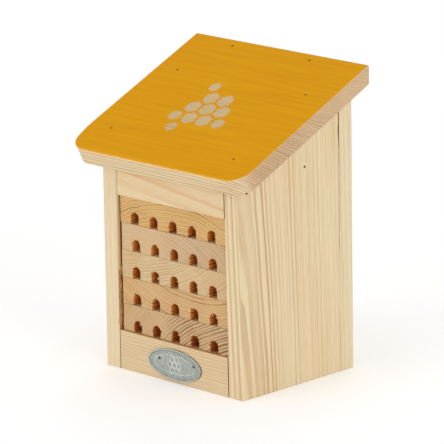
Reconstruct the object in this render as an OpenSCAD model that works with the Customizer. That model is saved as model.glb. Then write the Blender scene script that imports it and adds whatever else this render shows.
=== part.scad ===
// Wooden nest house for solitary bees: a nailed pine case with a sloping painted
// roof and a stack of grooved nest blocks that pull out of the front for cleaning.
// Millimetres. +Z is up, the front faces -Y, and the origin lies on the ground
// under the middle of the overall box.

/* [Case] */
// Outside width across the two side panels
box_w = 140; // [125:1:180]
// Depth from the front plane to the face that lies on the wall
box_d = 115.5; // [108:0.5:160]
// Thickness of each side panel
side_t = 14; // [11:0.5:18]
// Thickness of the back panel
back_t = 13.5; // [9:0.5:18]
// Thickness of the rail and the lintel, from front to back
front_t = 14; // [11:0.5:18]
// Thickness of the floor board
floor_t = 14; // [10:0.5:18]
// Height of the front rail, whose top edge carries the lowest block
rail_h = 29.5; // [24:0.5:45]
// Height of the lintel's front face, up to the underside of the roof
lintel_h = 29.5; // [22:0.5:45]
// Gap left between the rail and each side panel
rail_gap = 0.5; // [0.2:0.1:1]
// Gap left between the lintel and the left side panel
lintel_gap_left = 0.3; // [0.2:0.1:1]
// Gap left between the lintel and the right side panel
lintel_gap_right = 0.7; // [0.2:0.1:1]

/* [Roof] */
// Slope of the roof, in degrees
roof_slope = 25; // [15:1:35]
// Thickness of the roof board
roof_t = 13; // [10:0.5:20]
// Overhang past each side panel
roof_side = 18; // [8:1:30]
// Overhang past the front plane, along the slope
roof_front = 15; // [8:0.2:30]
// Radius of the two front corners
roof_corner_r = 15; // [4:0.5:25]

/* [Nest blocks] */
// Number of blocks in the stack
block_count = 5; // [3:1:8]
// Height of one block
block_h = 20.2; // [16:0.2:26]
// Length of one block, and so of its tunnels
block_d = 58; // [45:1:65]
// How far the blocks sit behind the front plane
block_recess = 2; // [0:0.5:5]
// Clearance under each block and over the top one
slide_gap = 0.15; // [0.1:0.05:0.4]
// Total sideways play of a block between the side panels
block_play = 4; // [2.6:0.2:6]
// How far right of the middle the stack has been pushed
stack_shift = 0.2; // [0:0.1:1.2]
// Number of tunnels in a block
groove_count = 5; // [3:1:5]
// Width of a tunnel
groove_w = 8; // [5:0.5:10]
// Height of a tunnel, up to the crown of its round top
groove_h = 9; // [6:0.5:12]
// Spacing of the tunnels
groove_pitch = 19.6; // [14:0.2:21]

/* [Stop board] */
// Thickness of the inner board that closes the tunnels at the back
stop_t = 12; // [9:0.5:18]
// Clearance between the blocks and the stop board
stop_gap = 0.4; // [0.2:0.1:1]
// Space between the top of the stop board and the roof
stop_headroom = 16; // [8:1:30]
// How far below its top the stop board is nailed
stop_nail_drop = 13; // [8:1:25]

/* [Hanging hole] */
// Diameter of the hole that hooks over a wall screw
hang_d = 8; // [5:0.5:12]
// Depth of the hole's middle below the top of the back panel
hang_drop = 24; // [15:1:40]

/* [Nails] */
// Diameter of a nail's shank
nail_d = 1.2; // [1:0.1:1.6]
// Diameter of a nail's head
nail_head_d = 1.8; // [1.7:0.1:3]
// Height of a nail's head
nail_head_h = 0.9; // [0.6:0.1:1.5]
// How far a nail's head is set below the surface
nail_sink = 0.9; // [0.7:0.1:2]
// Clearance around a nail
nail_gap = 0.05; // [0.02:0.01:0.1]
// Length of a roof nail
roof_nail_l = 38; // [30:1:45]
// Length of a nail in the sides and the back
case_nail_l = 34; // [28:1:40]
// Distance of the front roof nails behind the front plane
roof_nail_front = 4; // [3:0.5:6]
// Distance of the rear roof nails behind the front plane
roof_nail_rear = 75; // [74:0.5:78]
// Distance of the roof's back nails from the middle
roof_nail_side = 39; // [25:1:50]
// Distance of the outermost back nails from the panel's ends
back_nail_end = 32; // [25:1:50]
// Number of nails down each edge of the back panel
back_nail_count = 3; // [2:1:4]
// Distance of the floor's nails from the middle
floor_nail_side = 30; // [15:1:45]

/* [Oval plate] */
// Width of the plate
plate_w = 54; // [40:1:70]
// Height of the plate
plate_h = 23; // [16:0.5:25]
// Thickness of the plate inside its rim
plate_t = 0.8; // [0.6:0.1:1.5]
// Width of the raised rim
plate_rim_w = 1.2; // [0.8:0.1:2]
// Height of the raised rim above the plate
plate_rim_h = 0.4; // [0.2:0.1:0.8]
// Distance of the plate's middle below the middle of the rail
plate_drop = 1; // [0:0.1:1.5]
// Distance of the plate's middle right of the middle of the rail
plate_shift = 1.6; // [0:0.1:5]
// Distance of each plate nail from the middle of the pair
plate_nail_side = 17.5; // [10:0.5:19]
// Height of the plate nails above the plate's middle
plate_nail_rise = 2.6; // [0:0.2:4]
// Diameter of a plate nail's shank
plate_nail_d = 1.2; // [1:0.1:1.6]
// Diameter of a plate nail's round head
plate_nail_head_d = 2.2; // [2:0.1:3]
// Height of a plate nail's round head
plate_nail_head_h = 0.7; // [0.5:0.1:1]
// Length of a plate nail's shank below its head
plate_nail_l = 11; // [8:0.5:13]

/* [Hidden] */
$fn = 64;
BLOCK_NODES = [for (i = [1:block_count]) str("nest_block_", i)];

// A cut runs this far past the face that it opens
past = 1;
// Colours of the woods and metals
pine = [0.89, 0.79, 0.63];
block_pine = [0.80, 0.64, 0.43];
roof_yellow = [0.84, 0.60, 0.12];
zinc = [0.68, 0.69, 0.67];
nail_steel = [0.45, 0.42, 0.38];

// Inside of the case
inside_w = box_w - 2 * side_t;
side_d = box_d - back_t;
side_mid_x = (box_w - side_t) / 2;

// Stack of blocks, from the rail's top edge up to the lintel
block_w = inside_w - block_play;
block_rise = block_h + slide_gap;
lintel_z = rail_h + block_count * block_rise + slide_gap;
front_h = lintel_z + lintel_h;
groove_r = groove_w / 2;
// Small sideways offsets of the loose blocks, from the top of the stack down
block_nudge = [-0.8, 0.2, -0.1, 0.2, 0.4];
// How far each hand-driven nail landed from its mark, to the right and to the rear:
// the front and the rear nail of each side, then the left and the right one at the back
roof_wander_left = [[-4, 2.5], [-4, 0]];
roof_wander_right = [[-1, -2], [0, 0]];
roof_wander_back = [[-4, 0], [-4, 0]];
// The plate nails' wander is to the right only
plate_wander = 2;

// Height of the roof's underside and of its top, at a distance behind the front plane
function under_z(y) = front_h + y * tan(roof_slope);
function roof_z(y) = under_z(y) + roof_t / cos(roof_slope);

// How far the roof's top edge reaches in front of the front plane
roof_reach = roof_front * cos(roof_slope) + roof_t * sin(roof_slope);
// The front plane, placed so that the overall box is centred on the origin
front_y = -(box_d - roof_reach) / 2;

stop_y = block_recess + block_d + stop_gap;
stop_top = under_z(stop_y) - stop_headroom;
hang_z = under_z(side_d) - hang_drop;
plate_z = rail_h / 2 - plate_drop;

// Puts what is drawn behind the front plane into the part's frame
module in_case() translate([0, front_y, 0]) children();

// A board with a given outline, seen from the side, that runs along X
module profile_board(outline, x_from, width)
    translate([x_from, 0, 0]) rotate([90, 0, 90]) linear_extrude(width) polygon(outline);

// A board between two distances behind the front plane, with its top cut to the roof's slope
module sloped_board(x_from, width, y_from, y_to, z_from)
    profile_board([[y_from, z_from], [y_to, z_from], [y_to, under_z(y_to)], [y_from, under_z(y_from)]],
        x_from, width);

// A nail that points down, with the top of its head at the origin
module nail(length) color(nail_steel) {
    translate([0, 0, -nail_head_h]) cylinder(d = nail_head_d, h = nail_head_h);
    translate([0, 0, -length + 2 * nail_d]) cylinder(d = nail_d, h = length - 2 * nail_d - nail_head_h);
    translate([0, 0, -length]) cylinder(d1 = nail_d / 5, d2 = nail_d, h = 2 * nail_d);
}

// The hole that a nail has made, open above its head
module nail_hole(length) {
    translate([0, 0, -length - nail_gap]) cylinder(d = nail_d + 2 * nail_gap, h = length);
    translate([0, 0, -nail_head_h - nail_gap])
        cylinder(d = nail_head_d + 2 * nail_gap, h = nail_head_h + nail_gap + nail_sink + nail_head_d);
}

// Where the nails go: each puts its children at a nail's head, pointing inwards.
// side is -1 for the left and 1 for the right.
module at_roof_mark(x, y, wander)
    translate([x + wander[0], y + wander[1], roof_z(y + wander[1]) - nail_sink]) children();

module at_roof_nails(side) {
    wander = side < 0 ? roof_wander_left : roof_wander_right;
    at_roof_mark(side * side_mid_x, roof_nail_front, wander[0]) children();
    at_roof_mark(side * side_mid_x, roof_nail_rear, wander[1]) children();
}

module at_roof_back_nails() {
    at_roof_mark(-roof_nail_side, box_d - back_t / 2, roof_wander_back[0]) children();
    at_roof_mark(roof_nail_side, box_d - back_t / 2, roof_wander_back[1]) children();
}

module at_side_nails(side)
    for (place = [[front_t * 0.6, lintel_z + lintel_h * 2 / 3],
                  [stop_y + stop_t / 2, stop_top - stop_nail_drop]])
        translate([side * (box_w / 2 - nail_sink), place[0], place[1]]) rotate([0, side * 90, 0]) children();

module at_back_nails(side)
    for (i = [0:back_nail_count - 1])
        translate([side * side_mid_x, box_d - nail_sink,
                   back_nail_end + i * (under_z(side_d) - 2 * back_nail_end) / (back_nail_count - 1)])
            rotate([-90, 0, 0]) children();

module at_floor_nails()
    for (side = [-1, 1])
        translate([side * floor_nail_side, box_d - nail_sink, rail_h - floor_t / 2])
            rotate([-90, 0, 0]) children();

module at_plate_nails()
    for (side = [-1, 1])
        translate([plate_shift + plate_wander + side * plate_nail_side, -plate_t, plate_z + plate_nail_rise])
            rotate([90, 0, 0]) children();

module side_panel(side) color(pine) in_case() difference() {
    sloped_board(side * side_mid_x - side_t / 2, side_t, 0, side_d, 0);
    at_roof_nails(side) nail_hole(roof_nail_l);
    at_side_nails(side) nail_hole(case_nail_l);
    at_back_nails(side) nail_hole(case_nail_l);
}

module back_panel() color(pine) in_case() difference() {
    sloped_board(-box_w / 2, box_w, side_d, box_d, 0);
    at_roof_back_nails() nail_hole(roof_nail_l);
    for (side = [-1, 1]) at_back_nails(side) nail_hole(case_nail_l);
    at_floor_nails() nail_hole(case_nail_l);
    translate([0, side_d - past, hang_z]) rotate([-90, 0, 0]) cylinder(d = hang_d, h = back_t + 2 * past);
}

module front_lintel() color(pine) in_case() difference() {
    sloped_board(-inside_w / 2 + lintel_gap_left, inside_w - lintel_gap_left - lintel_gap_right, 0, front_t,
        lintel_z);
    for (side = [-1, 1]) at_side_nails(side) nail_hole(case_nail_l);
}

module front_rail() color(pine) in_case() difference() {
    translate([-inside_w / 2 + rail_gap, 0, 0]) cube([inside_w - 2 * rail_gap, front_t, rail_h]);
    at_plate_nails() plate_nail_hole();
}

module floor_board() color(pine) in_case() difference() {
    translate([-inside_w / 2, front_t, rail_h - floor_t]) cube([inside_w, side_d - front_t, floor_t]);
    at_floor_nails() nail_hole(case_nail_l);
}

module stop_board() color(pine) in_case() difference() {
    translate([-inside_w / 2, stop_y, rail_h]) cube([inside_w, stop_t, stop_top - rail_h]);
    for (side = [-1, 1]) at_side_nails(side) nail_hole(case_nail_l);
}

// Outline of the roof before it is tilted: rounded at its front corners, too long at the back
module roof_outline() {
    half_w = box_w / 2 + roof_side;
    length = roof_front + (box_d + roof_t) / cos(roof_slope);
    translate([-half_w, -roof_front + roof_corner_r]) square([2 * half_w, length - roof_corner_r]);
    translate([-half_w + roof_corner_r, -roof_front]) square([2 * (half_w - roof_corner_r), length]);
    for (side = [-1, 1])
        translate([side * (half_w - roof_corner_r), -roof_front + roof_corner_r]) circle(r = roof_corner_r);
}

// The roof's back end is cut plumb, in line with the back panel, so that both lie on the wall
module roof_board() color(roof_yellow) in_case() difference() {
    translate([0, 0, front_h]) rotate([roof_slope, 0, 0]) linear_extrude(roof_t) roof_outline();
    translate([-box_w / 2 - roof_side - past, box_d, 0])
        cube([box_w + 2 * (roof_side + past), 4 * roof_t, 2 * roof_z(box_d)]);
    for (side = [-1, 1]) at_roof_nails(side) nail_hole(roof_nail_l);
    at_roof_back_nails() nail_hole(roof_nail_l);
}

// One tunnel: straight walls and a round crown, open underneath
module groove() rotate([-90, 0, 0]) translate([0, 0, -past]) linear_extrude(block_d + 2 * past) {
    translate([-groove_r, -(groove_h - groove_r)]) square([groove_w, groove_h - groove_r + past]);
    translate([0, -(groove_h - groove_r)]) circle(r = groove_r);
}

// Block 1 is at the top of the stack
module nest_block(number) {
    x_mid = stack_shift + block_nudge[(number - 1) % len(block_nudge)];
    z_from = rail_h + slide_gap + (block_count - number) * block_rise;
    color(block_pine) in_case() translate([x_mid, block_recess, z_from]) difference() {
        translate([-block_w / 2, 0, 0]) cube([block_w, block_d, block_h]);
        for (i = [0:groove_count - 1])
            translate([(i - (groove_count - 1) / 2) * groove_pitch, 0, 0]) groove();
    }
}

module oval(width, height, thickness) scale([width / 2, height / 2, 1]) cylinder(r = 1, h = thickness);

module oval_plate() color(zinc) in_case() difference() {
    translate([plate_shift, 0, plate_z]) rotate([90, 0, 0]) difference() {
        oval(plate_w, plate_h, plate_t + plate_rim_h);
        translate([0, 0, plate_t])
            oval(plate_w - 2 * plate_rim_w, plate_h - 2 * plate_rim_w, plate_rim_h + past);
    }
    at_plate_nails() plate_nail_hole();
}

// A round-headed nail that points down, with the underside of its head at the origin
module plate_nail() color(nail_steel) {
    head_r = (pow(plate_nail_head_d / 2, 2) + pow(plate_nail_head_h, 2)) / (2 * plate_nail_head_h);
    translate([0, 0, -plate_nail_l]) cylinder(d = plate_nail_d, h = plate_nail_l);
    intersection() {
        translate([0, 0, plate_nail_head_h - head_r]) sphere(r = head_r);
        cylinder(d = plate_nail_head_d + past, h = plate_nail_head_h + past);
    }
}

module plate_nail_hole()
    translate([0, 0, -plate_nail_l - nail_gap])
        cylinder(d = plate_nail_d + 2 * nail_gap, h = plate_nail_l + past);

side_panel(-1);  // left_side_panel
side_panel(1);  // right_side_panel
back_panel();
front_lintel();
front_rail();
floor_board();
stop_board();
roof_board();
for (i = [1:block_count]) nest_block(i);
oval_plate();
in_case() at_plate_nails() plate_nail();  // plate_nails
in_case() at_roof_nails(-1) nail(roof_nail_l);  // roof_nails_left
in_case() at_roof_nails(1) nail(roof_nail_l);  // roof_nails_right
in_case() at_roof_back_nails() nail(roof_nail_l);  // roof_nails_back
in_case() at_side_nails(-1) nail(case_nail_l);  // side_nails_left
in_case() at_side_nails(1) nail(case_nail_l);  // side_nails_right
in_case() at_back_nails(-1) nail(case_nail_l);  // back_nails_left
in_case() at_back_nails(1) nail(case_nail_l);  // back_nails_right
in_case() at_floor_nails() nail(case_nail_l);  // floor_nails
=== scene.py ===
import math
import bmesh
import bpy
from mathutils import Euler, Matrix, Vector, noise


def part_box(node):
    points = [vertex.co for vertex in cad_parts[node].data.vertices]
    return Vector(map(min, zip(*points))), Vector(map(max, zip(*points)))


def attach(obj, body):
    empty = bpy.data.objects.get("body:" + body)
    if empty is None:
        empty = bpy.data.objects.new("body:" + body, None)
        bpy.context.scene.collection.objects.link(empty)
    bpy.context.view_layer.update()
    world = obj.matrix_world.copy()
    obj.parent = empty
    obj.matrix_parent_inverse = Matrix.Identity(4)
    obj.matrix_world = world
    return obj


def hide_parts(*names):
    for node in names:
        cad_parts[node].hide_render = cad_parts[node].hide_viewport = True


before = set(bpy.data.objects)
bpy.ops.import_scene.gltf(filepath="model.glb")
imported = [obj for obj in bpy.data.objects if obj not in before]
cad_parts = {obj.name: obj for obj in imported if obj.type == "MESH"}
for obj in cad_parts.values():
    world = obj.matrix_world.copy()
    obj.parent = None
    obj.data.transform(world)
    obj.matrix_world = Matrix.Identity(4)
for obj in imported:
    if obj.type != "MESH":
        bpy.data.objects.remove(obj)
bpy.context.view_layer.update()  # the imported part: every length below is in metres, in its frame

mm = 0.001
weldReach = 0.001 * mm  # points nearer than this are one
caseBody = "case"


# small helpers for node trees

def tint(red, green, blue):
    def linear(value):
        share = value / 255
        return share / 12.92 if share <= 0.04045 else ((share + 0.055) / 1.055) ** 2.4
    return (linear(red), linear(green), linear(blue), 1)


def addNode(tree, kind, inputs=None, **settings):
    node = tree.nodes.new(kind)
    for key, value in settings.items():
        setattr(node, key, value)
    for key, value in (inputs or {}).items():
        if isinstance(value, bpy.types.NodeSocket):
            tree.links.new(value, node.inputs[key])
        else:
            node.inputs[key].default_value = value
    return node


def calc(tree, operation, first, second=None):
    values = {0: first} if second is None else {0: first, 1: second}
    return addNode(tree, "ShaderNodeMath", values, operation=operation).outputs[0]


def plus(tree, first, second):
    return calc(tree, "ADD", first, second)


def minus(tree, first, second):
    return calc(tree, "SUBTRACT", first, second)


def times(tree, first, second):
    return calc(tree, "MULTIPLY", first, second)


def less(tree, first, second):  # 1 where the first is the smaller
    return calc(tree, "LESS_THAN", first, second)


def vectorCalc(tree, operation, first, second=None):
    values = {0: first} if second is None else {0: first, 1: second}
    node = addNode(tree, "ShaderNodeVectorMath", values, operation=operation)
    return node.outputs["Value" if operation in ("DOT_PRODUCT", "LENGTH") else "Vector"]


def dot(tree, first, second):
    return vectorCalc(tree, "DOT_PRODUCT", first, second)


def ramp(tree, value, low, high, toLow=0.0, toHigh=1.0):  # smooth step between two values
    inputs = {"Value": value, "From Min": low, "From Max": high, "To Min": toLow, "To Max": toHigh}
    return addNode(tree, "ShaderNodeMapRange", inputs, interpolation_type="SMOOTHSTEP").outputs["Result"]


def blendColour(tree, share, first, second, mode="MIX"):
    node = addNode(tree, "ShaderNodeMix", {0: share, 6: first, 7: second}, data_type="RGBA", blend_type=mode)
    return node.outputs[2]


def noiseField(tree, vector, stretch, seed, detail=1.0, output="Fac"):  # stretch: cells per unit, by axis
    scaled = vectorCalc(tree, "MULTIPLY", vector, stretch)
    inputs = {"Vector": scaled, "W": seed, "Scale": 1.0, "Detail": detail}
    return addNode(tree, "ShaderNodeTexNoise", inputs, noise_dimensions="4D").outputs[output]


def centred(tree, value, reach):  # a 0 to 1 field turned into plus or minus half its reach
    return times(tree, minus(tree, value, 0.5), reach)


def eitherWay(tree, colour):  # a noise colour turned into a push of up to a half each way
    return vectorCalc(tree, "SUBTRACT", colour, (0.5, 0.5, 0.5))


def scaledVector(tree, vector, factor):
    values = {0: vector, "Scale": factor}
    return addNode(tree, "ShaderNodeVectorMath", values, operation="SCALE").outputs[0]


def axisOf(tree, vector, axis):  # one of a vector's three numbers
    return addNode(tree, "ShaderNodeSeparateXYZ", {0: vector}).outputs["XYZ".index(axis)]


def addSockets(tree, direction, sockets):  # sockets: their names, by kind
    for kind, names in sockets.items():
        for name in names:
            tree.interface.new_socket(name=name, in_out=direction, socket_type="NodeSocket" + kind)


# materials

pineFinish = {"relief": (0.55, 0.09 * mm), "roughness": (0.8, 0.62), "shine": 0.28, "endRange": (0.35, 0.9)}
pineSockets = {
    "Vector": ("Grain",),
    "Float": ("End Face", "Ring Width", "Ring Drift", "Ring Contrast", "Uneven", "Mottle", "Seed"),
    "Color": ("Earlywood", "Latewood", "End Tint"),
}


def buildPineGroup():
    # Solid pine: growth rings around a pith that runs along local Z, in millimetres,
    # so that faces, edges and end grain of one board agree with each other.
    tree = bpy.data.node_groups.new("solidPine", "ShaderNodeTree")
    addSockets(tree, "INPUT", pineSockets)
    addSockets(tree, "OUTPUT", {"Color": ("Colour",), "Float": ("Height", "Late", "Radius")})
    given = addNode(tree, "NodeGroupInput").outputs
    grain, seed = given["Grain"], given["Seed"]

    drift = noiseField(tree, grain, (1 / 30, 1 / 30, 1 / 170), seed, 1.5, "Color")
    pull = scaledVector(tree, eitherWay(tree, drift), given["Ring Drift"])
    bent = vectorCalc(tree, "MULTIPLY", vectorCalc(tree, "ADD", grain, pull), (1, 1, 0))
    ripple = noiseField(tree, grain, (1 / 6, 1 / 6, 1 / 50), plus(tree, seed, 3.1))
    radius = plus(tree, vectorCalc(tree, "LENGTH", bent), centred(tree, ripple, 1.2))
    even = calc(tree, "DIVIDE", radius, given["Ring Width"])
    slow = {"W": times(tree, even, 0.45), "Scale": 1.0, "Detail": 1.0}
    uneven = addNode(tree, "ShaderNodeTexNoise", slow, noise_dimensions="1D").outputs["Fac"]
    rings = plus(tree, even, times(tree, centred(tree, uneven, 2.2), given["Uneven"]))

    place = calc(tree, "FRACT", rings)
    rise = ramp(tree, place, 0.36, 0.93)
    fall = ramp(tree, place, 0.93, 1.0, 1.0, 0.0)
    ring = plus(tree, calc(tree, "FLOOR", rings), times(tree, seed, 7.3))
    yearly = addNode(tree, "ShaderNodeTexWhiteNoise", {"W": ring}, noise_dimensions="1D").outputs["Value"]
    weakest = minus(tree, 1.0, times(tree, given["Uneven"], 0.65))
    strength = addNode(tree, "ShaderNodeMapRange", {"Value": yearly, "To Min": weakest}).outputs["Result"]
    patch = noiseField(tree, grain, (1 / 22, 1 / 22, 1 / 120), plus(tree, seed, 9.7))
    shown = ramp(tree, patch, 0.3, 0.65, 0.5, 1.0)
    late = times(tree, times(tree, rise, fall), times(tree, strength, shown))
    late = times(tree, late, given["Ring Contrast"])
    late = times(tree, late, plus(tree, 1.0, times(tree, given["End Face"], 0.15)))

    fibre = noiseField(tree, grain, (1.5, 1.5, 1 / 9), plus(tree, seed, 5.3), 3.0)
    streak = noiseField(tree, grain, (0.4, 0.4, 1 / 60), plus(tree, seed, 6.9), 2.0)
    cloud = noiseField(tree, grain, (1 / 26, 1 / 26, 1 / 90), plus(tree, seed, 8.2))
    cells = {"Vector": vectorCalc(tree, "MULTIPLY", grain, (0.9, 0.9, 1 / 7)), "Scale": 1.0}
    canal = addNode(tree, "ShaderNodeTexVoronoi", cells).outputs
    pick = addNode(tree, "ShaderNodeSeparateColor", {0: canal["Color"]}).outputs[0]
    chosen = ramp(tree, pick, 0.6, 0.7)  # only some cells hold a resin canal
    resin = times(tree, chosen, ramp(tree, canal["Distance"], 0.06, 0.13, 1.0, 0.0))

    colour = blendColour(tree, late, given["Earlywood"], given["Latewood"])
    warm = blendColour(tree, 1.0, colour, tint(252, 241, 226), "MULTIPLY")
    clouded = times(tree, ramp(tree, cloud, 0.35, 0.7), given["Mottle"])
    colour = blendColour(tree, clouded, colour, warm)
    level = plus(tree, 1.0, plus(tree, centred(tree, fibre, 0.2), centred(tree, streak, 0.16)))
    level = minus(tree, level, times(tree, resin, 0.22))
    grey = addNode(tree, "ShaderNodeCombineColor", {0: level, 1: level, 2: level}).outputs[0]
    colour = blendColour(tree, 1.0, colour, grey, "MULTIPLY")
    ended = blendColour(tree, 1.0, colour, given["End Tint"], "MULTIPLY")
    colour = blendColour(tree, given["End Face"], colour, ended)
    height = plus(tree, times(tree, late, 0.5), minus(tree, fibre, resin))
    addNode(tree, "NodeGroupOutput", {"Colour": colour, "Height": height, "Late": late, "Radius": radius})
    return tree


pineGroup = buildPineGroup()

quarterTurn = math.radians(90)
upright = (quarterTurn, 0, 0)  # stands up what was made lying flat
cornerUp = (0, 0, math.radians(30))  # brings a hexagon's corner to the top
grainTurn = {"x": Euler((0, quarterTurn, 0)), "y": Euler((-quarterTurn, 0, 0)), "z": Euler((0, 0, 0))}
grainAlong = {"x": (1, 0, 0), "y": (0, 1, 0), "z": (0, 0, 1)}


def newMaterial(name):
    material = bpy.data.materials.new(name)
    material.use_nodes = True
    tree = material.node_tree
    return material, tree, tree.nodes["Principled BSDF"]


def inMillimetres(tree, where, middle, turn):  # coordinates around a point, turned
    values = {"Vector": where, "Location": middle, "Rotation": turn, "Scale": (mm, mm, mm)}
    return addNode(tree, "ShaderNodeMapping", values, vector_type="TEXTURE").outputs[0]


def finishShader(tree, shader, colour, roughness, height, relief):  # relief: strength and depth of the bumps
    strength, depth = relief
    bump = addNode(tree, "ShaderNodeBump", {"Strength": strength, "Distance": depth, "Height": height})
    tree.links.new(colour, shader.inputs["Base Color"])
    tree.links.new(roughness, shader.inputs["Roughness"])
    tree.links.new(bump.outputs["Normal"], shader.inputs["Normal"])


def pineMaterial(name, look):
    # look: grain axis, pith point, lean of the pith in degrees, ring values and colours
    material, tree, shader = newMaterial(name)
    lean = Euler([math.radians(angle) for angle in look["lean"]]).to_matrix()
    turn = (lean @ grainTurn[look["grain"]].to_matrix()).to_euler()
    where = addNode(tree, "ShaderNodeTexCoord").outputs["Object"]
    normal = addNode(tree, "ShaderNodeNewGeometry").outputs["Normal"]
    values = {key: look[key] for key in pineSockets["Float"] if key in look}
    values |= {key: tint(*look[key]) for key in pineSockets["Color"]}
    values["Grain"] = inMillimetres(tree, where, look["pith"], turn)
    endRange = look.get("endRange", pineFinish["endRange"])
    values["End Face"] = ramp(tree, endFacing(tree, normal, look), *endRange)
    for axis, start, end, least in look.get("fades", ()):  # the rings get weaker towards one side
        fade = ramp(tree, axisOf(tree, where, axis), start, end, least, 1.0)
        values["Ring Contrast"] = times(tree, fade, values["Ring Contrast"])
    pine = addNode(tree, "ShaderNodeGroup", values, node_tree=pineGroup).outputs
    colour = pine["Colour"]
    for reach, width, strength in look.get("bold", ()):  # denser years: reach and width in millimetres
        away = calc(tree, "ABSOLUTE", minus(tree, pine["Radius"], reach))
        dense = ramp(tree, away, 0.0, width, strength, 0.0)
        colour = blendColour(tree, dense, colour, tint(*look["Latewood"]))
    for axis, start, end, strength, darkColour in look.get("darkenings", ()):  # darker towards one side: painted shade in recesses, and other darkening
        darkened = ramp(tree, axisOf(tree, where, axis), start, end, 0.0, strength)
        colour = blendColour(tree, darkened, colour, tint(*darkColour))
    if look.get("bleed"):
        colour = bledPaint(tree, where, normal, colour, look["bleed"])
    roughness = ramp(tree, pine["Late"], 0.0, 0.8, *pineFinish["roughness"])
    finishShader(tree, shader, colour, roughness, pine["Height"], pineFinish["relief"])
    shader.inputs["Specular IOR Level"].default_value = pineFinish["shine"]
    return material


def endFacing(tree, normal, look):  # 1 where the end grain shows
    facing = calc(tree, "ABSOLUTE", dot(tree, normal, grainAlong[look["grain"]]))
    if not look.get("bleed"):
        return facing
    climb = dot(tree, normal, roofFrame()[1])  # the roof's eased edges count too
    outward = calc(tree, "SQRT", plus(tree, times(tree, facing, facing), times(tree, climb, climb)))
    return times(tree, calc(tree, "DIVIDE", facing, outward), ramp(tree, outward, 0.05, 0.2))


def bledPaint(tree, where, normal, colour, reach):
    # paint that ran thinly over the roof's top edges, coloured lighter than paint or wood as a painted
    # highlight on them, and the first coat on its face around the bare patch
    origin, upSlope, out, _, _ = roofFrame()
    depth = dot(tree, vectorCalc(tree, "SUBTRACT", where, origin), out)
    wobble = noiseField(tree, where, (1 / roofPaint["wobbleSize"],) * 3, 6.0, 2.0)
    depth = plus(tree, depth, centred(tree, wobble, roofPaint["wobbleReach"]))
    sideways = calc(tree, "ABSOLUTE", dot(tree, normal, (1, 0, 0)))
    depth = minus(tree, depth, ramp(tree, sideways, 0.1, 0.45, 0.0, reach))  # it stops sooner at the ends
    face = ramp(tree, dot(tree, normal, out), 0.97, 0.995)
    edge = minus(tree, 1.0, face)
    middle = origin + Vector((barePatch["Across"], 0, 0)) + upSlope * barePatch["Up Slope"]
    away = vectorCalc(tree, "LENGTH", vectorCalc(tree, "SUBTRACT", where, middle))
    coatFrom, coatTo = (share * barePatch["Spread"] for share in roofPaint["coatFrom"])
    coat = times(tree, face, ramp(tree, away, coatFrom, coatTo))
    thinPaintAndHighlight = times(tree, edge, ramp(tree, depth, -reach, -0.35 * reach))
    thinPaintAndHighlight = calc(tree, "MAXIMUM", thinPaintAndHighlight, coat)
    thick = times(tree, edge, ramp(tree, depth, -0.6 * reach, -0.05 * reach))
    thick = calc(tree, "MAXIMUM", thick, coat)
    browned = blendColour(tree, 1.0, colour, tint(*roofPaint["browned"]), "MULTIPLY")
    colour = blendColour(tree, face, colour, browned)
    colour = blendColour(tree, thinPaintAndHighlight, colour, tint(*roofPaint["thinPaintAndHighlight"]))
    return blendColour(tree, thick, colour, tint(*roofPaint["light"]))


def paintMaterial(name, look):
    # satin paint that lets the grain of the board show through a little
    material, tree, shader = newMaterial(name)
    where = addNode(tree, "ShaderNodeTexCoord").outputs["Object"]
    flat = inMillimetres(tree, where, (0, 0, 0), (math.radians(roof["slope"]), 0, 0))
    lines = noiseField(tree, flat, (1 / 70, 0.42, 0.3), 2.0, 3.0)
    cloud = noiseField(tree, flat, (1 / 60, 1 / 24, 0.1), 5.0)
    peel = noiseField(tree, flat, (1.1, 1.1, 1.1), 8.0, 2.0)
    colour = blendColour(tree, ramp(tree, lines, 0.3, 0.75), tint(*look["light"]), tint(*look["dark"]))
    clouded = times(tree, ramp(tree, cloud, 0.35, 0.75), 0.5)
    colour = blendColour(tree, clouded, colour, tint(*look["cloud"]))
    height = plus(tree, times(tree, lines, 1.4), times(tree, peel, 0.5))
    roughness = ramp(tree, peel, 0.2, 0.8, *look["roughness"])
    finishShader(tree, shader, colour, roughness, height, look["relief"])
    shader.inputs["Specular IOR Level"].default_value = look["shine"]
    return material


def metalMaterial(name, look):
    # cloudy metal with fine specks: rust spots on a nail; on the plate, grime with painted shade and rubbed
    # spots with a painted highlight
    material, tree, shader = newMaterial(name)
    where = addNode(tree, "ShaderNodeTexCoord").outputs["Object"]
    inMm = vectorCalc(tree, "MULTIPLY", where, (1 / mm, 1 / mm, 1 / mm))
    cloud = noiseField(tree, inMm, (look["cloudScale"],) * 3, 1.0, 3.0)
    speck = noiseField(tree, inMm, (look["speckScale"],) * 3, 4.0, 2.0)
    colour = blendColour(tree, ramp(tree, cloud, 0.3, 0.7), tint(*look["light"]), tint(*look["dark"]))
    if "spots" in look:
        spotted = ramp(tree, speck, 0.56, 0.72, 0.0, look["spotting"])
        colour = blendColour(tree, spotted, colour, tint(*look["spots"]))
    if "patinaAndShade" in look:  # patina and painted shade in the groove along the rim and at the plate's edge, rubbed wear and a painted highlight on what stands out
        patinaAndShade = addNode(tree, "ShaderNodeAttribute", attribute_name="patinaAndShade").outputs["Fac"]
        raised = addNode(tree, "ShaderNodeAttribute", attribute_name="raised").outputs["Fac"]
        grimeAndShade = times(tree, patinaAndShade, ramp(tree, speck, 0.25, 0.6, 0.55, 1.0))
        colour = blendColour(tree, grimeAndShade, colour, tint(*look["patinaAndShade"]))
        rubbed = times(tree, raised, ramp(tree, speck, 0.3, 0.62))
        colour = blendColour(tree, rubbed, colour, tint(*look["worn"]))
    roughness = ramp(tree, cloud, 0.25, 0.75, *look["roughness"])
    finishShader(tree, shader, colour, roughness, speck, look["relief"])
    shader.inputs["Metallic"].default_value = 1.0
    return material


# meshes

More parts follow.
